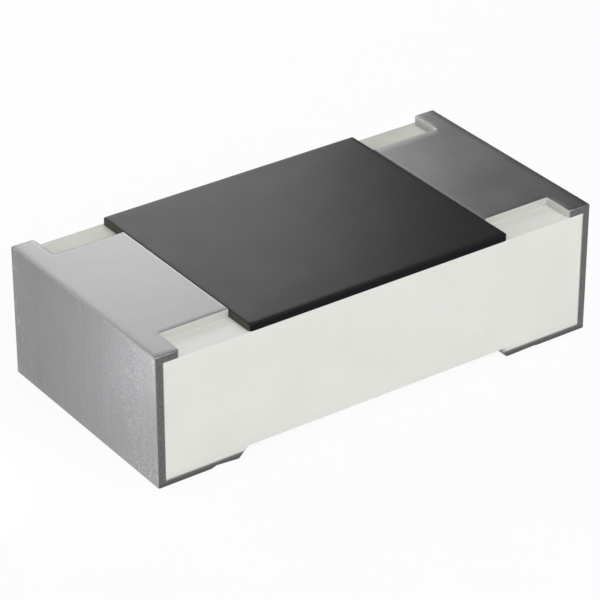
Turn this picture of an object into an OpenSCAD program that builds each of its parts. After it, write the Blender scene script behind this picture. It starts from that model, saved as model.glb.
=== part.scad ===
/* Thick-film chip resistor, case size 1608 metric. A white alumina chip carries printed silver pads,
   a laser-trimmed resistor film under glass, a black overcoat, and plated bands round its two ends.
   Millimetres, +Z up, +X along the chip, origin at its centre, where placing machines take hold of it. */

/* [Chip] */
// Length over the plated ends
chip_l = 1.60; // [1.40:0.01:1.80]
// Width over the ceramic and the plated ends
chip_w = 0.80; // [0.70:0.01:1.00]
// Thickness of the alumina
ceramic_t = 0.385; // [0.250:0.005:0.600]
// Radius of the end edges of the alumina and of the layers that wrap them
end_edge_r = 0.008; // [0.006:0.001:0.012]

/* [End bands] */
// Length of the full-width lip on top, from the end of the chip
lip_l = 0.084; // [0.060:0.002:0.120]
// Length of the wrap underneath, from the end of the chip to its seam
wrap_l = 0.187; // [0.150:0.001:0.220]
// Length of the left pad underneath, from the end of the chip
left_pad_l = 0.320; // [0.300:0.005:0.450]
// Length of the right pad underneath, from the end of the chip
right_pad_l = 0.345; // [0.300:0.005:0.450]
// Slope of the feathered pad ends, in degrees
pad_slope = 44; // [30:1:60]
// Run of the rise where the wrap stops and the pad goes on
seam_l = 0.017; // [0.008:0.001:0.030]
// Depth of the dip at the left seam
left_seam_d = 0.006; // [0.001:0.001:0.008]
// Depth of the dip at the right seam
right_seam_d = 0.002; // [0.001:0.001:0.008]
// Radius of the plating's edges along the long sides of the chip
side_edge_r = 0.005; // [0.003:0.001:0.006]
// Radius of the lips' inner corners, seen from above
lip_corner_r = 0.014; // [0.006:0.001:0.020]

/* [Layers of the end bands] */
// Width of the printed silver pads on top
conductor_w = 0.552; // [0.450:0.002:0.600]
// Thickness of the printed silver pads on top
conductor_t = 0.008; // [0.005:0.001:0.012]
// Thickness of the printed silver pads underneath
under_conductor_t = 0.018; // [0.008:0.001:0.024]
// Thickness of the end electrode where it covers a silver pad
end_cover_t = 0.003; // [0.002:0.001:0.008]
// Thickness of the end electrode on the end face
end_wall_t = 0.014; // [0.008:0.001:0.020]
// Thickness of the nickel barrier
nickel_t = 0.005; // [0.003:0.001:0.008]
// Thickness of the tin
tin_t = 0.009; // [0.008:0.001:0.014]

/* [Resistor] */
// Length of the overcoat
overcoat_l = 0.950; // [0.800:0.010:1.000]
// Thickness of the overcoat above the glass
overcoat_t = 0.006; // [0.004:0.001:0.012]
// Radius of the overcoat's top edges
overcoat_edge_r = 0.007; // [0.003:0.001:0.012]
// Radius of the overcoat's corners, seen from above
overcoat_corner_r = 0.009; // [0.004:0.001:0.030]
// Length of each top silver pad that lies under the overcoat
conductor_reach = 0.140; // [0.120:0.005:0.200]
// Length of the film that lies on each silver pad
film_overlap = 0.080; // [0.040:0.005:0.090]
// Width of the resistor film
film_w = 0.460; // [0.350:0.005:0.500]
// Thickness of the resistor film
film_t = 0.006; // [0.004:0.001:0.010]
// Width of the glass beyond the film, all round
glass_rim = 0.020; // [0.010:0.001:0.030]
// Thickness of the glass above the film
glass_t = 0.004; // [0.002:0.001:0.008]

/* [Laser trim] */
// Width of the cut
trim_w = 0.030; // [0.020:0.002:0.040]
// Place of the plunge along the chip, from the left end of the film
trim_start = 0.340; // [0.300:0.005:0.400]
// Depth of the plunge from the film's front edge
trim_depth = 0.220; // [0.100:0.005:0.280]
// Length of the run along the chip after the plunge
trim_run = 0.150; // [0.060:0.005:0.180]

/* [Hidden] */
$fn = 48;

LEFT = -1;
RIGHT = 1;

// The three layers that wrap an end, from the inside out
ELECTRODE = 0;
NICKEL = 1;
TIN = 2;

// Cutting bodies run this far past the face that they cut
past = 0.05;

// Plating over the electrode at each layer's outer face, and plating still to come outside that face
plating_t = nickel_t + tin_t;
function plated(layer) = [0, nickel_t, plating_t][layer];
function to_come(layer) = plating_t - plated(layer);

// Heights above the alumina, and depths below it
function lip_h(layer) = conductor_t + end_cover_t + plated(layer);
function pad_h(layer) = conductor_t + plated(layer);
function wrap_d(layer) = under_conductor_t + end_cover_t + plated(layer);
function under_pad_d(layer) = under_conductor_t + plated(layer);
film_h = conductor_t + film_t;
glass_h = film_h + glass_t;
overcoat_h = glass_h + overcoat_t;

// The alumina inside the bands
ceramic_l = chip_l - 2 * (end_wall_t + plating_t);
ceramic_end = ceramic_l / 2;
chip_h = ceramic_t + lip_h(TIN) + wrap_d(TIN);
ceramic_top = chip_h / 2 - lip_h(TIN);
ceramic_bottom = ceramic_top - ceramic_t;

// Faces of each layer at the right end; the left end mirrors them
function band_w(layer) = chip_w - 2 * to_come(layer);
function band_end(layer) = ceramic_end + end_wall_t + plated(layer);
function lip_start(layer) = chip_l / 2 - lip_l + to_come(layer);
function wrap_start(layer) = chip_l / 2 - wrap_l + to_come(layer);
function pad_toe(layer, side) = chip_l / 2 - pad_l(side) + to_come(layer) / sin(pad_slope);
function pad_l(side) = side == LEFT ? left_pad_l : right_pad_l;
function seam_d(side) = side == LEFT ? left_seam_d : right_seam_d;
function feather(h) = h / tan(pad_slope);

// The resistor's ends, measured from the middle of the chip
overcoat_end = overcoat_l / 2;
conductor_toe = overcoat_end - conductor_reach;
conductor_heel = conductor_toe + feather(conductor_t);
conductor_end = ceramic_end - end_edge_r;
film_end = conductor_heel + film_overlap;
glass_end = film_end + glass_rim;
glass_w = film_w + 2 * glass_rim;

// Extrudes a front-view outline, drawn in X and Z, across the width of the chip
module across(width) {
    translate([0, width / 2, 0])
        rotate([90, 0, 0])
            linear_extrude(width)
                children();
}

// Extrudes an end-view outline, drawn in Y and Z, along the whole chip
module along(length) {
    translate([-length / 2, 0, 0])
        rotate([90, 0, 90])
            linear_extrude(length)
                children();
}

// Builds the right end, or its mirror image at the left
module at_end(side) {
    mirror([side == LEFT ? 1 : 0, 0, 0])
        children();
}

// What a round of radius r takes off a corner that points along +X and +Y
module corner_waste(r) {
    translate([-r, -r])
        difference() {
            square(r + past);
            circle(r);
        }
}

// Rectangle centred on X, standing on Y, with its two upper corners rounded
module round_topped(width, height, r) {
    difference() {
        translate([-width / 2, 0])
            square([width, height]);
        for (turn = [0, 1])
            mirror([turn, 0])
                translate([width / 2, height])
                    corner_waste(r);
    }
}

// Centred rectangle with all corners rounded
module round_cornered(length, width, r) {
    difference() {
        square([length, width], center = true);
        for (flip_x = [0, 1], flip_y = [0, 1])
            mirror([flip_x, 0])
                mirror([0, flip_y])
                    translate([length / 2, width / 2])
                        corner_waste(r);
    }
}

// Front view of the alumina, and the same block made wider to cut the layers that lie on it
module ceramic_block(width) {
    translate([0, 0, (ceramic_top + ceramic_bottom) / 2])
        across(width)
            round_cornered(ceramic_l, ceramic_t, end_edge_r);
}

// Front view of the end of a band, filled across the alumina, with round outer edges
module end_outline(layer) {
    length = band_end(layer) - lip_start(layer);
    top = ceramic_top + lip_h(layer);
    bottom = ceramic_bottom - wrap_d(layer);
    translate([lip_start(layer), (top + bottom) / 2])
        difference() {
            translate([0, (bottom - top) / 2])
                square([length, top - bottom]);
            for (flip = [0, 1])
                mirror([0, flip])
                    translate([length, (top - bottom) / 2])
                        corner_waste(end_edge_r);
        }
}

// Front view of the stretch under the alumina, from the toe of the pad to the band's end;
// the points run along its underside
module under_outline(layer, underside) {
    joint = lip_start(layer) + end_edge_r;
    polygon(concat(
        [[joint, ceramic_bottom + end_edge_r]],
        [[underside[0].x, ceramic_bottom + end_edge_r]],
        underside,
        [[joint, ceramic_bottom - wrap_d(layer)]]
    ));
}

// Underside of each layer at the right end, from the middle of the chip outwards
function electrode_underside() = [
    [wrap_start(ELECTRODE), ceramic_bottom],
    [wrap_start(ELECTRODE), ceramic_bottom - wrap_d(ELECTRODE)]
];
function nickel_underside(side) = [
    [pad_toe(NICKEL, side), ceramic_bottom],
    [pad_toe(NICKEL, side) + feather(under_pad_d(NICKEL)), ceramic_bottom - under_pad_d(NICKEL)],
    [wrap_start(NICKEL), ceramic_bottom - under_pad_d(NICKEL)],
    [wrap_start(NICKEL), ceramic_bottom - wrap_d(NICKEL)]
];
function tin_underside(side) = [
    [pad_toe(TIN, side), ceramic_bottom],
    [pad_toe(TIN, side) + feather(wrap_d(TIN)), ceramic_bottom - wrap_d(TIN)],
    [wrap_start(TIN) - seam_l, ceramic_bottom - wrap_d(TIN) + seam_d(side)],
    [wrap_start(TIN), ceramic_bottom - wrap_d(TIN)]
];

// Narrow stretch of plating on a top pad, from the overcoat to the lip
module top_strip(layer, height, reach) {
    width = conductor_w + 2 * plated(layer);
    translate([overcoat_end - reach, -width / 2, ceramic_top - reach])
        cube([lip_start(layer) + end_edge_r - overcoat_end + reach, width, height + reach]);
}

// Everything inside the outer face of the end electrode
module electrode_body() {
    across(band_w(ELECTRODE)) {
        end_outline(ELECTRODE);
        under_outline(ELECTRODE, electrode_underside());
    }
}

// Everything inside the outer face of the nickel
module nickel_body(side, reach) {
    across(band_w(NICKEL)) {
        end_outline(NICKEL);
        under_outline(NICKEL, nickel_underside(side));
    }
    top_strip(NICKEL, pad_h(NICKEL), reach);
}

// Everything inside the outer face of the tin: level on top, soft along its side edges
module tin_body(side) {
    intersection() {
        union() {
            across(band_w(TIN)) {
                end_outline(TIN);
                under_outline(TIN, tin_underside(side));
            }
            top_strip(TIN, lip_h(TIN), 0);
        }
        along(chip_l)
            round_cornered(chip_w, chip_h, side_edge_r);
        linear_extrude(chip_h, center = true)
            round_cornered(chip_l, chip_w, side_edge_r);
    }
}

// Corners that are taken off a lip where it ends at the front and back notches
module lip_corners() {
    for (flip = [0, 1])
        mirror([0, flip, 0])
            translate([lip_start(TIN), chip_w / 2, ceramic_top])
                linear_extrude(lip_h(TIN) + past)
                    mirror([1, 0])
                        corner_waste(lip_corner_r);
}

module top_conductor_body(side) {
    at_end(side)
        across(conductor_w)
            polygon([
                [conductor_toe, ceramic_top],
                [conductor_heel, ceramic_top + conductor_t],
                [conductor_end, ceramic_top + conductor_t],
                [conductor_end, ceramic_top]
            ]);
}

module bottom_conductor_body(side) {
    toe = pad_toe(ELECTRODE, side);
    at_end(side)
        across(band_w(ELECTRODE))
            polygon([
                [toe, ceramic_bottom],
                [toe + feather(under_conductor_t), ceramic_bottom - under_conductor_t],
                [conductor_end, ceramic_bottom - under_conductor_t],
                [conductor_end, ceramic_bottom]
            ]);
}

module conductors() {
    for (side = [LEFT, RIGHT]) {
        top_conductor_body(side);
        bottom_conductor_body(side);
    }
}

// One printed layer over the pads and the gap between them, stepping down into the gap
module printed_layer(end, width, step_h, gap_h) {
    across(width)
        translate([0, ceramic_top])
            polygon([
                [-end, 0],
                [-end, step_h],
                [-conductor_heel, step_h],
                [-conductor_toe, gap_h],
                [conductor_toe, gap_h],
                [conductor_heel, step_h],
                [end, step_h],
                [end, 0]
            ]);
}

module film_layer() {
    printed_layer(film_end, film_w, film_h, film_t);
}

module glass_layer() {
    printed_layer(glass_end, glass_w, glass_h, film_t + glass_t);
}

// The path of the laser: in from the front edge, then along the chip
module trim_cut() {
    front = -glass_w / 2 - past;
    turn = -film_w / 2 + trim_depth;
    translate([trim_start - film_end, 0, ceramic_top - past])
        linear_extrude(glass_h + 2 * past) {
            translate([-trim_w / 2, front])
                square([trim_w, turn - front]);
            translate([0, turn - trim_w / 2])
                square([trim_run, trim_w]);
            for (x = [0, trim_run])
                translate([x, turn])
                    circle(d = trim_w);
        }
}

module ceramic_substrate() {
    color("#e5e5de")
        ceramic_block(chip_w);
}

module resistor_film() {
    color("#2b2a2c")
        difference() {
            film_layer();
            conductors();
            trim_cut();
        }
}

module glass_coat() {
    color("#8fa79a")
        difference() {
            glass_layer();
            film_layer();
            conductors();
            trim_cut();
        }
}

module overcoat() {
    color("#303033")
        difference() {
            translate([0, 0, ceramic_top])
                intersection() {
                    across(chip_w)
                        round_topped(overcoat_l, overcoat_h, overcoat_edge_r);
                    along(overcoat_l)
                        round_topped(chip_w, overcoat_h, overcoat_edge_r);
                    linear_extrude(overcoat_h)
                        round_cornered(overcoat_l, chip_w, overcoat_corner_r);
                }
            difference() {
                union() {
                    glass_layer();
                    film_layer();
                }
                trim_cut();
            }
            conductors();
        }
}

module top_conductor(side) {
    color("#d8d5cb")
        top_conductor_body(side);
}

module bottom_conductor(side) {
    color("#d8d5cb")
        bottom_conductor_body(side);
}

module end_electrode(side) {
    color("#b7b0a2")
        difference() {
            at_end(side)
                electrode_body();
            ceramic_block(chip_w);
            conductors();
        }
}

module nickel_barrier(side) {
    color("#a5a298")
        difference() {
            at_end(side)
                nickel_body(side, 0);
            at_end(side)
                electrode_body();
            ceramic_block(chip_w);
            conductors();
        }
}

module tin_plating(side) {
    color("#b9babd")
        difference() {
            at_end(side)
                tin_body(side);
            at_end(side)
                nickel_body(side, past);
            at_end(side)
                lip_corners();
            ceramic_block(chip_w + 2 * past);
        }
}

ceramic_substrate();
resistor_film();
glass_coat();
overcoat();
top_conductor(LEFT);  // top_conductor_left
top_conductor(RIGHT);  // top_conductor_right
bottom_conductor(LEFT);  // bottom_conductor_left
bottom_conductor(RIGHT);  // bottom_conductor_right
end_electrode(LEFT);  // end_electrode_left
end_electrode(RIGHT);  // end_electrode_right
nickel_barrier(LEFT);  // nickel_barrier_left
nickel_barrier(RIGHT);  // nickel_barrier_right
tin_plating(LEFT);  // tin_plating_left
tin_plating(RIGHT);  // tin_plating_right
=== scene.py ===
import bpy
import bmesh
from math import ceil, cos, pi, radians, sin, tan
from mathutils import Matrix, Vector, noise


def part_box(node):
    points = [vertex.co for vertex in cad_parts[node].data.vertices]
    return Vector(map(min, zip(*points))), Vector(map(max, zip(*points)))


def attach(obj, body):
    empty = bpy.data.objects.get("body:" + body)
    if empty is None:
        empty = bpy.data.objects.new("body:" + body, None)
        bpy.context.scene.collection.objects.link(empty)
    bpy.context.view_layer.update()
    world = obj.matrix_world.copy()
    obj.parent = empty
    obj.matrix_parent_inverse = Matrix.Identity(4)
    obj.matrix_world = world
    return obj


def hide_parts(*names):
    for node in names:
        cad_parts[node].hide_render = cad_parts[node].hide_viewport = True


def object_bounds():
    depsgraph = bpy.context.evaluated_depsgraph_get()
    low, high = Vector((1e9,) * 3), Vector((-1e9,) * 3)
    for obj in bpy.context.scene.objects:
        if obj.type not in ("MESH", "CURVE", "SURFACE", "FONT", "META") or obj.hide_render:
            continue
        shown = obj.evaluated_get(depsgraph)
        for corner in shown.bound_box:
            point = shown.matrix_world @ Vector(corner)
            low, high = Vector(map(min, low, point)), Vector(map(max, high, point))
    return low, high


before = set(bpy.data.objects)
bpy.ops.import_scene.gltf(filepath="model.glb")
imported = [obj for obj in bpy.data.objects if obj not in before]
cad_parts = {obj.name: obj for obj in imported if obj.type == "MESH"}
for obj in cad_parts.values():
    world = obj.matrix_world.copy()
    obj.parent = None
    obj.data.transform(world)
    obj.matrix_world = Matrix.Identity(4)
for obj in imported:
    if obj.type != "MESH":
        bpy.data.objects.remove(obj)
cadLow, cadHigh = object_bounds()  # the CAD box, before anything is dressed
mm = 0.001                     # shapes are worked out in mm, the scene is in metres
scene = bpy.context.scene
scene.view_settings.view_transform = "Standard"
print("frame loaded, CAD box", [round(v / mm, 4) for v in cadHigh - cadLow], "mm")


def boxInMm(node):
    low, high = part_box(node)
    return low / mm, high / mm


def toLinear(hexColour):
    # "#rrggbb" as drawn on a screen to the linear colour that shaders take
    parts = [int(hexColour[i:i + 2], 16) / 255 for i in (1, 3, 5)]
    return [c / 12.92 if c <= 0.04045 else ((c + 0.055) / 1.055) ** 2.4 for c in parts] + [1.0]


def perMetre(sizeInMm):
    # texture scale that makes one cell of a pattern this wide
    return 1 / (sizeInMm * mm)


def addNode(tree, kind, settings=None, links=None):
    node = tree.nodes.new("ShaderNode" + kind)
    for key, value in (settings or {}).items():
        if isinstance(key, int) or key in node.inputs:
            node.inputs[key].default_value = value
        else:
            setattr(node, key, value)
    for key, source in (links or {}).items():
        tree.links.new(source, node.inputs[key])
    return node


def newMaterial(name):
    mat = bpy.data.materials.new(name)
    mat.use_nodes = True
    mat.node_tree.nodes.clear()
    return mat, mat.node_tree


# mesh helpers work in mm
def stepped(*stops, pitch=0.02):
    # the stops in rising order, with even steps of at most one pitch between them
    line = [stops[0]]
    for low, high in zip(stops, stops[1:]):
        count = max(1, ceil((high - low) / pitch - 1e-6))
        line += [low + (high - low) * i / count for i in range(1, count + 1)]
    return line


def cellBody(xs, ys, zs, isFilled):
    # skin of the filled cells of a stepped grid, all quads
    bm = bmesh.new()
    made = {}
    filled = {}
    for i in range(len(xs) - 1):
        for j in range(len(ys) - 1):
            for k in range(len(zs) - 1):
                filled[i, j, k] = isFilled((xs[i] + xs[i + 1]) / 2, (ys[j] + ys[j + 1]) / 2, (zs[k] + zs[k + 1]) / 2)
    sides = {
        (1, 0, 0): ((1, 0, 0), (1, 1, 0), (1, 1, 1), (1, 0, 1)),
        (-1, 0, 0): ((0, 0, 0), (0, 0, 1), (0, 1, 1), (0, 1, 0)),
        (0, 1, 0): ((0, 1, 0), (0, 1, 1), (1, 1, 1), (1, 1, 0)),
        (0, -1, 0): ((0, 0, 0), (1, 0, 0), (1, 0, 1), (0, 0, 1)),
        (0, 0, 1): ((0, 0, 1), (1, 0, 1), (1, 1, 1), (0, 1, 1)),
        (0, 0, -1): ((0, 0, 0), (0, 1, 0), (1, 1, 0), (1, 0, 0)),
    }
    for (i, j, k), solid in filled.items():
        if not solid:
            continue
        for (a, b, c), corners in sides.items():
            if filled.get((i + a, j + b, k + c)):
                continue
            ring = []
            for u, v, w in corners:
                key = (i + u, j + v, k + w)
                if key not in made:
                    made[key] = bm.verts.new((xs[key[0]], ys[key[1]], zs[key[2]]))
                ring.append(made[key])
            bm.faces.new(ring)
    return bm


def onLine(points, x):
    # height of a broken line at x
    for (x0, z0), (x1, z1) in zip(points, points[1:]):
        if x <= x1 + 1e-9:
            return z0 + (z1 - z0) * max(0.0, x - x0) / (x1 - x0)
    return points[-1][1]


def bakeMesh(obj):
    # the object's mesh with its modifiers in it; the object goes
    bpy.context.view_layer.update()
    graph = bpy.context.evaluated_depsgraph_get()
    mesh = bpy.data.meshes.new_from_object(obj.evaluated_get(graph), depsgraph=graph)
    bpy.data.objects.remove(obj)
    return mesh


def helperObject(name, mesh):
    obj = bpy.data.objects.new(name, mesh)
    scene.collection.objects.link(obj)
    return obj


def roundedMesh(bm, radiusAt, segments=4):
    # rounds each sharp edge by the radius that radiusAt gives for its middle and direction
    weights = bm.edges.layers.float.new("bevel_weight_edge")
    bm.normal_update()
    found = []
    for edge in bm.edges:
        if len(edge.link_faces) == 2 and edge.calc_face_angle() > 0.45:
            run = edge.verts[1].co - edge.verts[0].co
            way = max(range(3), key=lambda a: abs(run[a]))
            radius = radiusAt((edge.verts[0].co + edge.verts[1].co) / 2, "xyz"[way])
            if radius:
                found.append((edge, radius))
    most = max(radius for _, radius in found)
    for edge, radius in found:
        edge[weights] = radius / most
    mesh = bpy.data.meshes.new("rounding")
    bm.to_mesh(mesh)
    bm.free()
    obj = helperObject("rounding", mesh)
    bevel = obj.modifiers.new("edges", "BEVEL")
    bevel.limit_method = "WEIGHT"
    bevel.width = most
    bevel.segments = segments
    bevel.use_clamp_overlap = False
    return bakeMesh(obj)


def unevenMesh(mesh, lift):
    # moves each point along its normal by the lift that its place gives, in mm
    bm = bmesh.new()
    bm.from_mesh(mesh)
    bm.normal_update()
    moves = [(v, v.normal * lift(v.co, v.normal)) for v in bm.verts]
    for v, move in moves:
        v.co += move
    bm.to_mesh(mesh)
    bm.free()
    return mesh


def cutMesh(mesh, *cutters):
    obj = helperObject("cutting", mesh)
    tools = [helperObject("cutter", cutter) for cutter in cutters]
    for tool in tools:
        cut = obj.modifiers.new("cut", "BOOLEAN")
        cut.operation = "DIFFERENCE"
        cut.solver = "EXACT"
        cut.object = tool
    baked = bakeMesh(obj)
    for tool in tools:
        bpy.data.objects.remove(tool)
    if not baked.polygons:
        raise ValueError("a cut left nothing")
    return baked


def placePiece(name, mesh, node, material):
    mesh.transform(Matrix.Scale(mm, 4))
    mesh.shade_smooth()
    mesh.set_sharp_from_angle(angle=radians(26))
    mesh.materials.clear()
    mesh.materials.append(material)
    obj = helperObject(name, mesh)
    obj.modifiers.new("flats", "WEIGHTED_NORMAL").keep_sharp = True
    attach(obj, "root")
    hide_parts(node)
    return obj


tinFinish = {
    "top": ("#979798", "#a2a2a3"),     # matte tin, between the grains and on them
    "end": ("#8a8a8c", "#939395"),     # the end faces, streaked, and painted darker than the tops as shade
    "front": ("#9e9ea0", "#a8a8aa"),   # the same towards the front, painted paler there as light
    "speck": "#cacacb",                # real grains, painted as bright glints near the front of the end faces; the scratches take this tone too
    "side": ("#626362", "#767675"),    # painted shade: the band's side faces, darker than the rest of the tin
    "seam": "#e4e4dd",                 # side edges where the plating thins out over the alumina
    "wallReflection": "#d2d2cd",                 # painted reflection: the pads' edge walls beside the front notches, pale as the alumina they mirror
    "backWallShade": "#b2b2ac",             # and beside the back ones, painted greyer as shade
    "coatRimHighlight": "#b0b0b0",                # painted highlight: a bright line on the tin beside the overcoat's ends
    "low": "#5c5c5b",                  # painted shade, darker still at the bottom rim of the side faces
    "fullToe": 0.455,                  # end of the right pad, dark right up to the alumina, mm
    "grain": 0.007,                    # plated grains, mm; drawn coarser than real ones, which are too fine to show
    "patch": 0.16,                     # cloudy patches, mm
    "streak": (0.3, 0.008, 0.25),      # faint drips down the end faces, mm along x, y and z
    "scuff": (0.3, 0.03, 0.005),       # fine scratches at the back of the end faces, the same way
    "roughness": (0.40, 0.43),
}


def matteTin():
    # electroplated from a matte bath: a pale silver grey with a soft, slightly cloudy sheen and fine grain
    mat, tree = newMaterial("matte tin electroplated")
    f = tinFinish
    coatEnd = boxInMm("overcoat")[1].x
    coords = addNode(tree, "TexCoord").outputs["Object"]
    grain = addNode(tree, "TexNoise", {"Scale": perMetre(f["grain"]), "Detail": 3.0},
                    {"Vector": coords}).outputs["Fac"]
    patch = addNode(tree, "TexNoise", {"Scale": perMetre(f["patch"]), "Detail": 2.0},
                    {"Vector": coords}).outputs["Fac"]
    drawn = addNode(tree, "Mapping", {"Scale": [perMetre(size) for size in f["streak"]]}, {"Vector": coords})
    streak = addNode(tree, "TexNoise", {"Scale": 1.0, "Detail": 1.0},
                    {"Vector": drawn.outputs["Vector"]}).outputs["Fac"]
    cloudy = addNode(tree, "Mix", {"data_type": "FLOAT", 0: 0.55}, {2: grain, 3: patch}).outputs[0]
    worn = addNode(tree, "Mix", {"data_type": "FLOAT", 0: 0.4}, {2: grain, 3: streak}).outputs[0]
    rubbed = addNode(tree, "Mapping", {"Scale": [perMetre(size) for size in f["scuff"]]}, {"Vector": coords})
    scuff = addNode(tree, "TexNoise", {"Scale": 1.0, "Detail": 1.0},
                    {"Vector": rubbed.outputs["Vector"]}).outputs["Fac"]
    tones = {}
    for name, source in (("top", cloudy), ("end", worn), ("front", worn), ("side", grain)):
        tone = addNode(tree, "ValToRGB", links={"Fac": source})
        for element, position, colour in zip(tone.color_ramp.elements, (0.35, 0.65), f[name]):
            element.position = position
            element.color = toLinear(colour)
        tones[name] = tone.outputs["Color"]
    place = addNode(tree, "SeparateXYZ", links={"Vector": coords}).outputs
    across = addNode(tree, "Math", {"operation": "ABSOLUTE"}, {0: place["Y"]}).outputs[0]
    along = addNode(tree, "Math", {"operation": "ABSOLUTE"}, {0: place["X"]}).outputs[0]
    toeGap = addNode(tree, "Math", {"operation": "SUBTRACT", 1: f["fullToe"] * mm}, {0: place["X"]}).outputs[0]
    fromToe = addNode(tree, "Math", {"operation": "ABSOLUTE"}, {0: toeGap}).outputs[0]
    # places on the band, each rising from 0 to 1 between its two numbers in mm
    spans = {
        "endFace": (along, 0.7945, 0.7985),
        # the side faces, where the side tone is painted shade
        "sideFace": (across, 0.3985, 0.3998),
        "lightTowardsFront": (place["Y"], 0.25, -0.40),
        "frontHalf": (place["Y"], -0.08, -0.36),
        "aboveWrap": (place["Z"], -0.2030, -0.1955),
        "lowEdge": (place["Z"], -0.2040, -0.2120),
        "belowLip": (place["Z"], 0.1985, 0.1970),
        "insideEnd": (along, 0.7745, 0.7705),
        "betweenSides": (across, 0.3975, 0.3955),
        "behindEnd": (along, 0.780, 0.770),
        "belowRim": (place["Z"], 0.2223, 0.2212),
        "onTop": (place["Z"], 0.190, 0.196),
        "backEdge": (place["Y"], 0.245, 0.300),
        "rightBand": (place["X"], 0.0, 0.1),
        "farBack": (place["Y"], 0.27, 0.37),
        "besideCoat": (along, coatEnd + 0.006, coatEnd + 0.003),
        "onStrip": (along, 0.722, 0.706),
        "pastToe": (fromToe, 0.010, 0.034),
    }
    at = {}
    for name, (source, low, high) in spans.items():
        at[name] = addNode(tree, "MapRange", {"From Min": low * mm, "From Max": high * mm},
                           {"Value": source}).outputs["Result"]
    # and the brighter parts of the patterns
    for name, source, low, high in (("glintPatches", patch, 0.38, 0.60), ("flecks", grain, 0.52, 0.70),
                                    ("scratch", scuff, 0.64, 0.84)):
        at[name] = addNode(tree, "MapRange", {"From Min": low, "From Max": high}, {"Value": source}).outputs["Result"]
    # and where several of them meet
    meetings = {
        # painted glints on the grains of the end faces' front half
        "glintingGrains": ("endFace", "frontHalf", "glintPatches", "flecks"),
        "scuffed": ("endFace", "farBack", "scratch"),
        # painted highlight beside the overcoat's ends
        "besideCoatHighlight": ("besideCoat", "onTop"),
        "nearChip": ("sideFace", "aboveWrap", "insideEnd", "belowLip", "pastToe"),
        # painted reflection on the pads' edge walls
        "wallReflection": ("betweenSides", "behindEnd", "belowRim", "onTop"),
        # painted reflection: the right strip's back edge paler, as its rounding tilts back
        "backEdgeReflection": ("backEdge", "betweenSides", "behindEnd", "onStrip", "rightBand", "onTop"),
        # painted shade towards the bottom rim of the side faces
        "lowSideShade": ("sideFace", "lowEdge"),
    }
    for name, parts in meetings.items():
        at[name] = at[parts[0]]
        for part in parts[1:]:
            at[name] = addNode(tree, "Math", {"operation": "MULTIPLY"}, {0: at[name], 1: at[part]}).outputs[0]
    # painted shade and light: the end faces darker than the tops, and paler towards the front
    colour = addNode(tree, "Mix", {"data_type": "RGBA"},
                     {0: at["lightTowardsFront"], 6: tones["end"], 7: tones["front"]}).outputs[2]
    colour = addNode(tree, "Mix", {"data_type": "RGBA"}, {0: at["endFace"], 6: tones["top"], 7: colour}).outputs[2]
    # a pale, non-metal tone painted on the walls and the strips' back edges as reflection, greyer as shade at the back
    pale = addNode(tree, "Math", {"operation": "MAXIMUM"}, {0: at["wallReflection"], 1: at["backEdgeReflection"]}).outputs[0]
    wallReflection = addNode(tree, "Mix", {"data_type": "RGBA", 6: toLinear(f["wallReflection"]), 7: toLinear(f["backWallShade"])},
                   {0: at["backEdge"]}).outputs[2]
    # from the faces to the small places, each over the one before
    for share, tone in ((at["glintingGrains"], toLinear(f["speck"])), (at["scuffed"], toLinear(f["speck"])),
                        (at["besideCoatHighlight"], toLinear(f["coatRimHighlight"])), (pale, wallReflection), (at["sideFace"], tones["side"]),
                        (at["lowSideShade"], toLinear(f["low"])), (at["nearChip"], toLinear(f["seam"]))):
        if isinstance(tone, list):
            colour = addNode(tree, "Mix", {"data_type": "RGBA", 7: tone}, {0: share, 6: colour}).outputs[2]
        else:
            colour = addNode(tree, "Mix", {"data_type": "RGBA"}, {0: share, 6: colour, 7: tone}).outputs[2]
    sheen = addNode(tree, "MapRange", {"From Min": 0.3, "From Max": 0.7, "To Min": f["roughness"][0],
                                       "To Max": f["roughness"][1]}, {"Value": patch}).outputs["Result"]
    drips = addNode(tree, "Math", {"operation": "MULTIPLY"}, {0: at["endFace"], 1: streak}).outputs[0]
    height = addNode(tree, "Math", {"operation": "MULTIPLY_ADD", 1: 0.3}, {0: drips, 2: grain}).outputs[0]
    relief = addNode(tree, "Bump", {"Strength": 0.09, "Distance": 0.0006 * mm}, {"Height": height})
    bare = addNode(tree, "Math", {"operation": "MAXIMUM"}, {0: pale, 1: at["nearChip"]}).outputs[0]
    metal = addNode(tree, "Math", {"operation": "SUBTRACT", 0: 1.0}, {1: bare}).outputs[0]
    shader = addNode(tree, "BsdfPrincipled", links={"Base Color": colour, "Metallic": metal, "Roughness": sheen,
                                                    "Normal": relief.outputs["Normal"]})
    addNode(tree, "OutputMaterial", links={"Surface": shader.outputs["BSDF"]})
    return mat


aluminaFinish = {
    "pale": "#eaeae5",
    "grey": "#e5e5df",
    "shadeAndTint": "#c6c6bd",  # painted shade, with a faint tint, on the top face behind the printed pads
    "grain": 0.007,     # fired grains, mm; drawn coarser than real ones
    "cloud": 0.16,
    "roughness": 0.55,
}


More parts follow.
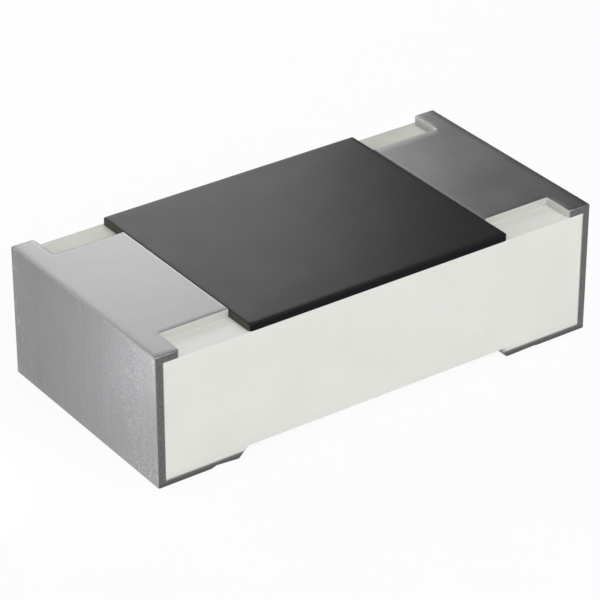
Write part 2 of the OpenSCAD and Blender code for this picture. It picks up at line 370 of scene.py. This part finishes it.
def firedAlumina():
    # tape-cast and fired, then snapped to size: an off-white, faintly warm body with a dull, fine-grained skin
    mat, tree = newMaterial("alumina fired")
    f = aluminaFinish
    coords = addNode(tree, "TexCoord").outputs["Object"]
    grain = addNode(tree, "TexNoise", {"Scale": perMetre(f["grain"]), "Detail": 2.0}, {"Vector": coords})
    cloud = addNode(tree, "TexNoise", {"Scale": perMetre(f["cloud"]), "Detail": 3.0}, {"Vector": coords})
    blend = addNode(tree, "Mix", {"data_type": "FLOAT", 0: 0.6}, {2: grain.outputs["Fac"], 3: cloud.outputs["Fac"]})
    tone = addNode(tree, "ValToRGB", links={"Fac": blend.outputs[0]})
    tone.color_ramp.elements[0].position = 0.35
    tone.color_ramp.elements[0].color = toLinear(f["grey"])
    tone.color_ramp.elements[1].position = 0.65
    tone.color_ramp.elements[1].color = toLinear(f["pale"])
    place = addNode(tree, "SeparateXYZ", links={"Vector": coords}).outputs
    # painted shade and tint behind the pads, in patches
    shadeAndTint = addNode(tree, "MapRange", {"From Min": 0.3, "From Max": 0.6, "To Min": 0.45},
                   {"Value": cloud.outputs["Fac"]}).outputs["Result"]
    for axis, low, high in (("Y", 0.24, 0.30), ("Z", 0.192, 0.196)):
        reached = addNode(tree, "MapRange", {"From Min": low * mm, "From Max": high * mm}, {"Value": place[axis]})
        shadeAndTint = addNode(tree, "Math", {"operation": "MULTIPLY"}, {0: shadeAndTint, 1: reached.outputs["Result"]}).outputs[0]
    colour = addNode(tree, "Mix", {"data_type": "RGBA", 7: toLinear(f["shadeAndTint"])},
                     {0: shadeAndTint, 6: tone.outputs["Color"]}).outputs[2]
    relief = addNode(tree, "Bump", {"Strength": 0.3, "Distance": 0.0008 * mm}, {"Height": grain.outputs["Fac"]})
    shader = addNode(tree, "BsdfPrincipled", {"Roughness": f["roughness"], "IOR": 1.6},
                     {"Base Color": colour, "Normal": relief.outputs["Normal"]})
    addNode(tree, "OutputMaterial", links={"Surface": shader.outputs["BSDF"]})
    return mat


overcoatFinish = {
    "black": "#111114",
    "lift": "#171719",
    "paintedEndLight": "#53534b",  # painted light: the print's end faces, paler than the rest
    "speck": 0.010,     # filler in the epoxy, mm
    "ripple": 0.09,     # flow marks of the screen's mesh, mm
    "roughness": (0.45, 0.55),
    "topRoughness": 0.37,
    "level": (0.35, 0.80),   # upward share of the normal where the shine begins and is full
    "endways": (0.6, 0.9),   # endward share of the normal where the painted light on the ends begins and is full
}


def blackEpoxy():
    # screen-printed and cured: near black, semi-gloss on top, with the faint unevenness of a print that flowed level
    mat, tree = newMaterial("black epoxy screen printed")
    f = overcoatFinish
    coords = addNode(tree, "TexCoord").outputs["Object"]
    speck = addNode(tree, "TexNoise", {"Scale": perMetre(f["speck"]), "Detail": 2.0}, {"Vector": coords})
    ripple = addNode(tree, "TexNoise", {"Scale": perMetre(f["ripple"]), "Detail": 1.0}, {"Vector": coords})
    tone = addNode(tree, "ValToRGB", links={"Fac": speck.outputs["Fac"]})
    tone.color_ramp.elements[0].position = 0.35
    tone.color_ramp.elements[0].color = toLinear(f["black"])
    tone.color_ramp.elements[1].position = 0.7
    tone.color_ramp.elements[1].color = toLinear(f["lift"])
    gloss = addNode(tree, "MapRange", {"From Min": 0.3, "From Max": 0.7, "To Min": f["roughness"][0],
                                       "To Max": f["roughness"][1]}, {"Value": ripple.outputs["Fac"]})
    relief = addNode(tree, "Bump", {"Strength": 0.12, "Distance": 0.0005 * mm}, {"Height": speck.outputs["Fac"]})
    # the top flowed level and shines; the sides, left by the screen's edge, stay dull
    facing = addNode(tree, "SeparateXYZ", links={"Vector": addNode(tree, "TexCoord").outputs["Normal"]})
    level = addNode(tree, "MapRange", {"From Min": f["level"][0], "From Max": f["level"][1]},
                    {"Value": facing.outputs["Z"]})
    # painted light: faces turned to the ends take a paler tone
    endways = addNode(tree, "Math", {"operation": "ABSOLUTE"}, {0: facing.outputs["X"]})
    paintedEndLight = addNode(tree, "MapRange", {"From Min": f["endways"][0], "From Max": f["endways"][1]},
                   {"Value": endways.outputs[0]})
    colour = addNode(tree, "Mix", {"data_type": "RGBA", 7: toLinear(f["paintedEndLight"])},
                     {0: paintedEndLight.outputs["Result"], 6: tone.outputs["Color"]})
    shader = addNode(tree, "BsdfPrincipled",
                     {"IOR": 1.5, "Specular IOR Level": 0.06, "Coat Roughness": f["topRoughness"], "Coat IOR": 1.30},
                     {"Base Color": colour.outputs[2], "Roughness": gloss.outputs["Result"],
                      "Normal": relief.outputs["Normal"], "Coat Weight": level.outputs["Result"],
                      "Coat Normal": relief.outputs["Normal"]})
    addNode(tree, "OutputMaterial", links={"Surface": shader.outputs["BSDF"]})
    return mat


# the layers that stay inside: tone pair, grain in mm, roughness, metallic
hiddenFinish = {
    "nickel plated": {"tones": ("#9c9a92", "#aaa89f"), "grain": 0.006, "roughness": 0.32, "metallic": 1.0},
    "silver paste fired": {"tones": ("#cfccc2", "#dedbd2"), "grain": 0.010, "roughness": 0.48, "metallic": 1.0},
    "silver end paste cured": {"tones": ("#aea798", "#beb7a8"), "grain": 0.012, "roughness": 0.55, "metallic": 0.8},
    "ruthenium oxide film fired": {"tones": ("#242325", "#323134"), "grain": 0.008, "roughness": 0.50, "metallic": 0.0},
    "glass glaze fired": {"tones": ("#879f92", "#97aea1"), "grain": 0.030, "roughness": 0.14, "metallic": 0.0},
}


def layerMaterial(name):
    # plated, fired and cured layers under the tin and the overcoat: each keeps its own grain and gloss
    mat, tree = newMaterial(name)
    f = hiddenFinish[name]
    coords = addNode(tree, "TexCoord").outputs["Object"]
    grain = addNode(tree, "TexNoise", {"Scale": perMetre(f["grain"]), "Detail": 3.0}, {"Vector": coords})
    tone = addNode(tree, "ValToRGB", links={"Fac": grain.outputs["Fac"]})
    for element, position, colour in zip(tone.color_ramp.elements, (0.32, 0.68), f["tones"]):
        element.position = position
        element.color = toLinear(colour)
    relief = addNode(tree, "Bump", {"Strength": 0.3, "Distance": 0.0006 * mm}, {"Height": grain.outputs["Fac"]})
    shader = addNode(tree, "BsdfPrincipled", {"Metallic": f["metallic"], "Roughness": f["roughness"]},
                     {"Base Color": tone.outputs["Color"], "Normal": relief.outputs["Normal"]})
    addNode(tree, "OutputMaterial", links={"Surface": shader.outputs["BSDF"]})
    return mat


tin = matteTin()
alumina = firedAlumina()
epoxy = blackEpoxy()
layers = {
    "nickel_barrier": "nickel plated",
    "top_conductor": "silver paste fired",
    "bottom_conductor": "silver paste fired",
    "end_electrode": "silver end paste cured",
    "resistor_film": "ruthenium oxide film fired",
    "glass_coat": "glass glaze fired",
}
layerMaterials = {name: layerMaterial(name) for name in hiddenFinish}
for node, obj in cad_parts.items():
    for start, name in layers.items():
        if node.startswith(start):
            for place in obj.material_slots:
                place.material = layerMaterials[name]
print("materials made")


ceramicShape = {
    "endEdge": 0.008,    # radius of the end edges, under the bands
    "longEdge": {"top": 0.0025, "bottom": 0.0008},  # wear on the snapped edges
    "pitch": 0.024,
    "waviness": 0.00025,
    "wave": 0.07,        # width of its waves
}
ceramicLow, ceramicHigh = boxInMm("ceramic_substrate")


def ceramicBody(halfWidth, worn):
    s = ceramicShape
    end = ceramicHigh.x
    bm = cellBody(stepped(-end, end, pitch=s["pitch"]), stepped(-halfWidth, halfWidth, pitch=s["pitch"]),
                  stepped(ceramicLow.z, ceramicHigh.z, pitch=s["pitch"]), lambda x, y, z: True)

    def radiusAt(middle, way):
        if way == "y":
            return s["endEdge"]
        return s["longEdge"]["top" if middle.z > 0 else "bottom"] if worn else 0

    return roundedMesh(bm, radiusAt)


def ceramicLift(place, normal):
    return ceramicShape["waviness"] * noise.noise(place / ceramicShape["wave"])


ceramicMesh = unevenMesh(ceramicBody(ceramicHigh.y, True), ceramicLift)
placePiece("alumina_chip", ceramicMesh, "ceramic_substrate", alumina)
print("ceramic chip made")


bandShape = {
    "lip": 0.084,          # full-width lip on top
    "stripWidth": 0.580,   # plating over the printed top pad
    "wrap": 0.187,         # underside, from the end to the seam
    "seamRun": 0.017,
    "padSlope": 44,
    "padLength": {"left": 0.320, "right": 0.345},
    "seamDip": {"left": 0.006, "right": 0.002},
    "tin": 0.009,          # thickness of the tin over the nickel
    "stripUnder": 0.013,   # silver and nickel under the tin of the strip
    "lipUnder": 0.016,     # silver, electrode and nickel under the tin of the lip
    "padUnder": 0.023,     # the same two on the underside, where the silver is thicker
    "wrapUnder": 0.026,
    "endEdge": {"top": 0.005, "bottom": 0.008},
    "sideEdge": 0.005,
    "lipCorner": {"front": 0.010, "back": 0.022},
    "lipFillet": 0.010,
    "lipInner": {"front": 0.004, "back": 0.010},
    "stripEdge": {"front": 0.004, "back": 0.014},  # the back edges are softer
    "lipCell": 0.030,      # cells wider than the lip's largest rounding, so that no edge folds over the next
    "topCell": 0.036,      # top row of cells, high enough to keep its points off the ceramic's face
    "waviness": 0.0001,
    "wave": (0.09, 0.035),
}
overcoatLow, overcoatHigh = boxInMm("overcoat")
deep = 0.16   # height inside the ceramic, where the bodies that are cut away end
bury = 0.002  # how far the pads' feather edges run on into the ceramic, so that no cut meets its face edge on


def bandBody(side):
    # outside of the band at the right end, filled; the ceramic and the nickel are cut out of it later
    s = bandShape
    end, half, top = cadHigh.x / mm, cadHigh.y / mm, cadHigh.z / mm
    under = ceramicLow.z
    strip, lipStart = overcoatHigh.x, end - s["lip"]
    toe = end - s["padLength"][side]
    heel = toe + (top + under) / tan(radians(s["padSlope"]))
    ridge = end - s["wrap"]
    valley = ridge - s["seamRun"]
    stripHalf = s["stripWidth"] / 2
    start = toe - bury / tan(radians(s["padSlope"]))
    underside = [(start, under + bury), (heel, -top), (valley, -top + s["seamDip"][side]), (ridge, -top), (end, -top)]

    def isFilled(x, y, z):
        if x > lipStart:
            return True
        if z < -deep:
            return x > start
        return z > deep and x > strip and abs(y) < stripHalf

    cell = s["lipCell"]
    xs = stepped(*sorted([start, strip, heel, valley, ridge, lipStart])) + stepped(lipStart, end, pitch=cell)[1:]
    ys = stepped(-half, -stripHalf, pitch=cell) + stepped(-stripHalf, stripHalf)[1:]
    ys += stepped(stripHalf, half, pitch=cell)[1:]
    zs = stepped(-top, -deep, deep, top - s["topCell"], top, pitch=0.04)
    bm = cellBody(xs, ys, zs, isFilled)
    for v in bm.verts:
        if v.co.z < -deep:
            v.co.z = -deep + (v.co.z + deep) * (onLine(underside, v.co.x) + deep) / (deep - top)

    def near(a, b):
        return abs(a - b) < 1e-5

    def radiusAt(middle, way):
        atEnd, atSide = near(middle.x, end), near(abs(middle.y), half)
        atTop, atBottom = near(middle.z, top), middle.z < under + 1e-5
        if way == "y":
            if atEnd and (atTop or atBottom):
                return s["endEdge"]["top" if atTop else "bottom"]
            if atTop and near(middle.x, lipStart):
                return s["lipInner"]["front" if middle.y < 0 else "back"]
            if atBottom and near(middle.x, heel):
                return s["sideEdge"]
        elif way == "x":
            if atSide and (atTop or atBottom):
                return s["sideEdge"]
            if atTop:
                return s["stripEdge"]["front" if middle.y < 0 else "back"]
        else:
            if atEnd and atSide:
                return s["sideEdge"]
            if near(middle.x, lipStart) and middle.z > deep:
                return s["lipCorner"]["front" if middle.y < 0 else "back"] if atSide else s["lipFillet"]
        return 0

    return roundedMesh(bm, radiusAt)


def nickelBody(side):
    # everything inside the tin at the right end
    s = bandShape
    end, half = cadHigh.x / mm - s["tin"], cadHigh.y / mm - s["tin"]
    lipTop, stripTop = ceramicHigh.z + s["lipUnder"], ceramicHigh.z + s["stripUnder"]
    wrapLow, padLow = ceramicLow.z - s["wrapUnder"], ceramicLow.z - s["padUnder"]
    slope = radians(s["padSlope"])
    lipStart = cadHigh.x / mm - s["lip"] + s["tin"]
    ridge = cadHigh.x / mm - s["wrap"] + s["tin"]
    toe = cadHigh.x / mm - s["padLength"][side] + s["tin"] / sin(slope)
    heel = toe + s["padUnder"] / tan(slope)
    stripHalf = s["stripWidth"] / 2 - s["tin"]
    start = toe - bury / tan(slope)
    underside = [(start, ceramicLow.z + bury), (heel, padLow), (end, padLow)]

    def isFilled(x, y, z):
        if x > lipStart:
            return True
        if z < -deep:
            return x > ridge or (x > start and z > padLow)
        return deep < z < stripTop and abs(y) < stripHalf

    xs = stepped(*sorted([overcoatHigh.x - 0.03, start, heel, ridge, lipStart, end]), pitch=0.1)
    ys = stepped(-half, -stripHalf, stripHalf, half, pitch=1)
    zs = stepped(wrapLow, padLow, -deep, deep, stripTop, lipTop, pitch=1)
    bm = cellBody(xs, ys, zs, isFilled)
    for v in bm.verts:
        if v.co.x < heel + 1e-6 and padLow - 1e-6 < v.co.z < -deep - 1e-6:
            v.co.z = onLine(underside, v.co.x)
    mesh = bpy.data.meshes.new("nickel")
    bm.to_mesh(mesh)
    bm.free()
    return mesh


def bandLift(place, normal):
    s = bandShape
    return s["waviness"] * (noise.noise(place / s["wave"][0]) + 0.5 * noise.noise(place / s["wave"][1]))


for side in ("left", "right"):
    bandMesh = unevenMesh(bandBody(side), bandLift)
    bandMesh = cutMesh(bandMesh, ceramicBody(cadHigh.y / mm + 0.05, False), nickelBody(side))
    if side == "left":
        bandMesh.transform(Matrix.Scale(-1, 4, (1, 0, 0)))
        bandMesh.flip_normals()
    placePiece("tin_band_" + side, bandMesh, "tin_plating_" + side, tin)
    print(side, "band made,", len(bandMesh.polygons), "faces")


coatShape = {
    "topEdge": 0.007,
    "corner": 0.012,
    "pitch": 0.02,
    "sag": 0.0008,        # how far the print's rim sinks
    "rimStart": 0.7,      # share of the way out where the rim begins to sink
    "waviness": 0.0001,
    "wave": 0.08,
    "glassWidth": 0.500,  # glass over the film
    "glassEnd": 0.4433,
    "glassTop": 0.018,    # its height above the ceramic, on the pads and in the gap between them
    "glassGap": 0.010,
    "padWidth": 0.552,    # printed silver pads under the film's ends
    "padToe": 0.335,
    "padHeel": 0.3433,
    "padTop": 0.008,
    "trimWidth": 0.030,   # the laser's cut, filled by the overcoat
    "trimStart": -0.0833,
    "trimTurn": -0.010,
    "trimRun": 0.150,
}


def coatBody():
    s = coatShape
    end, half, low, top = overcoatHigh.x, overcoatHigh.y, overcoatLow.z, overcoatHigh.z
    bm = cellBody(stepped(-end, end, pitch=s["pitch"]), stepped(-half, half, pitch=s["pitch"]),
                  stepped(low, top, pitch=0.012), lambda x, y, z: True)

    def radiusAt(middle, way):
        if way == "z":
            return s["corner"]
        return s["topEdge"] if middle.z > low + 0.001 else 0

    return roundedMesh(bm, radiusAt)


def coatLift(place, normal):
    s = coatShape
    if normal.z < 0.5:
        return 0
    rim = max(abs(place.x) / overcoatHigh.x, abs(place.y) / overcoatHigh.y)
    sunk = max(0, rim - s["rimStart"]) / (1 - s["rimStart"])
    return s["waviness"] * noise.noise(place / s["wave"]) - s["sag"] * sunk


def extruded(outline, axis, low, high):
    # an outline drawn in the two other axes, run along this one
    bm = bmesh.new()
    rings = []
    for level in (low, high):
        rings.append([bm.verts.new((u, level, v) if axis == "y" else (u, v, level)) for u, v in outline])
    bm.faces.new(rings[0])
    bm.faces.new(rings[1])
    for i in range(len(outline)):
        bm.faces.new((rings[0][i - 1], rings[0][i], rings[1][i], rings[1][i - 1]))
    bmesh.ops.recalc_face_normals(bm, faces=bm.faces)
    mesh = bpy.data.meshes.new("extruded")
    bm.to_mesh(mesh)
    bm.free()
    return mesh


def filmStack():
    # what the overcoat was printed over: two silver pads, and the glazed film with the laser's cut in it
    s = coatShape
    floor, low = ceramicHigh.z, ceramicHigh.z - 0.03
    start, turn, run, r = s["trimStart"], s["trimTurn"], s["trimRun"], s["trimWidth"] / 2
    path = [(start - r, -0.3)]
    path += [(start - r * cos(a), turn + r * sin(a)) for a in (radians(15 * i) for i in range(7))]
    path += [(start + run + r * sin(a), turn + r * cos(a)) for a in (radians(15 * i) for i in range(13))]
    path += [(start + r, turn - r), (start + r, -0.3)]
    half = [(s["padToe"], floor + s["glassGap"]), (s["padHeel"], floor + s["glassTop"]),
            (s["glassEnd"], floor + s["glassTop"]), (s["glassEnd"], low)]
    glass = extruded(half + [(-x, z) for x, z in reversed(half)], "y", -s["glassWidth"] / 2, s["glassWidth"] / 2)
    stack = [cutMesh(glass, extruded(path, "z", low - 0.01, floor + 0.05))]
    for turned in (-1, 1):
        pad = [(s["padToe"], low), (s["padToe"], floor), (s["padHeel"], floor + s["padTop"]),
               (0.5, floor + s["padTop"]), (0.5, low)]
        stack.append(extruded([(turned * x, z) for x, z in pad], "y", -s["padWidth"] / 2, s["padWidth"] / 2))
    return stack


coatMesh = cutMesh(unevenMesh(coatBody(), coatLift), *filmStack())
placePiece("epoxy_overcoat", coatMesh, "overcoat", epoxy)
print("overcoat made,", len(coatMesh.polygons), "faces")


studio = {
    "floorHalf": 60,             # mm
    "floorTones": ("#f2f2f2", "#f8f8f8"),
    "floorTooth": 0.3,           # mm
    "floorGlow": 0.92,           # share of plain white in what the eye sees of the floor
    "world": 0.5,
    "worldDark": 0.05,           # a darker part of the room, which the top faces mirror
    "darkWay": (0.919, 0.367, 0.145),
    "darkEdge": (0.64, 0.72),
    "sheet": {"place": (2.03, 4.34, 2.55), "aim": (-0.55, 0.05, 0.22), "size": (2.06, 2.2), "radiance": 3.2},
    "rim": {"place": (-2.4, 3.0, 1.9), "aim": (-0.8, 0.0, 0.2), "size": (2.6, 2.6), "radiance": 1.6},
    "card": {"place": (-1.25, -0.10, -0.01), "aim": (-0.8, -0.25, 0.05), "size": (0.50, 0.40), "radiance": 1.0},
    "key": {"place": (0.5, -7.0, 6.0), "aim": (0, 0, 0), "size": (5.0, 5.0), "radiance": 4.7},
}


def makeFloor():
    mat, tree = newMaterial("floor card matt")
    coords = addNode(tree, "TexCoord").outputs["Object"]
    tooth = addNode(tree, "TexNoise", {"Scale": perMetre(studio["floorTooth"]), "Detail": 2.0}, {"Vector": coords})
    tone = addNode(tree, "ValToRGB", links={"Fac": tooth.outputs["Fac"]})
    for element, colour in zip(tone.color_ramp.elements, studio["floorTones"]):
        element.color = toLinear(colour)
    card = addNode(tree, "BsdfDiffuse", links={"Color": tone.outputs["Color"]})
    # white to the eye and to what mirrors it, with a part of the shadow left in
    path = addNode(tree, "LightPath")
    seen = path.outputs["Is Camera Ray"]
    for kind in ("Is Glossy Ray", "Is Transmission Ray"):
        seen = addNode(tree, "Math", {"operation": "MAXIMUM"}, {0: seen, 1: path.outputs[kind]}).outputs[0]
    share = addNode(tree, "Math", {"operation": "MULTIPLY", 1: studio["floorGlow"]}, {0: seen})
    glow = addNode(tree, "Emission", {"Color": (1, 1, 1, 1), "Strength": 1.0})
    both = addNode(tree, "MixShader", links={0: share.outputs[0], 1: card.outputs[0], 2: glow.outputs[0]})
    addNode(tree, "OutputMaterial", links={"Surface": both.outputs[0]})
    half, low = studio["floorHalf"] * mm, cadLow.z
    mesh = bpy.data.meshes.new("floor")
    corners = [(-half, -half, low), (half, -half, low), (half, half, low), (-half, half, low)]
    mesh.from_pydata(corners, [], [(0, 1, 2, 3)])
    mesh.materials.append(mat)
    floor = helperObject("floor", mesh)


def makeWorld():
    world = bpy.data.worlds.new("studio")
    scene.world = world
    world.use_nodes = True
    tree = world.node_tree
    tree.nodes.clear()
    way = Vector(studio["darkWay"]).normalized()
    coords = addNode(tree, "TexCoord").outputs["Generated"]
    facing = addNode(tree, "VectorMath", {"operation": "DOT_PRODUCT", 1: way}, {0: coords})
    low, high = studio["darkEdge"]
    dark = addNode(tree, "MapRange", {"interpolation_type": "SMOOTHSTEP", "From Min": low, "From Max": high,
                                      "To Min": studio["world"], "To Max": studio["worldDark"]},
                   {"Value": facing.outputs["Value"]})
    sky = addNode(tree, "Background", {"Color": (1, 1, 1, 1)}, {"Strength": dark.outputs["Result"]})
    addNode(tree, "OutputWorld", links={"Surface": sky.outputs[0]})


def makeLamp(name):
    f = studio[name]
    data = bpy.data.lights.new(name, "AREA")
    data.shape = "RECTANGLE"
    data.size, data.size_y = [v * mm for v in f["size"]]
    data.energy = f["radiance"] * pi * data.size * data.size_y  # watts that give this brightness
    lamp = bpy.data.objects.new(name, data)
    scene.collection.objects.link(lamp)
    lamp.location = Vector(f["place"]) * mm
    lamp.rotation_euler = (Vector(f["aim"]) - Vector(f["place"])).to_track_quat("-Z", "Y").to_euler()
    lamp.visible_camera = False


view = {
    "azimuth": -35.2434,
    "elevation": 30.0681,
    "aim": (-0.0530, -0.0535, 0.0004),
    "distance": 9.2331,
    "focal": 3012.36,  # in pixels of the 600 wide image
}


def makeCamera():
    a, e = radians(view["azimuth"]), radians(view["elevation"])
    back = Vector((sin(a) * cos(e), -cos(a) * cos(e), sin(e)))
    data = bpy.data.cameras.new("camera")
    data.sensor_width = 36
    data.lens = data.sensor_width * view["focal"] / 600
    data.clip_start, data.clip_end = 0.5 * mm, 1
    camera = bpy.data.objects.new("camera", data)
    scene.collection.objects.link(camera)
    camera.location = (Vector(view["aim"]) + back * view["distance"]) * mm
    camera.rotation_euler = (-back).to_track_quat("-Z", "Y").to_euler()
    scene.camera = camera


makeFloor()
makeWorld()
for lamp in ("sheet", "rim", "card", "key"):
    makeLamp(lamp)
makeCamera()
print("stage set")
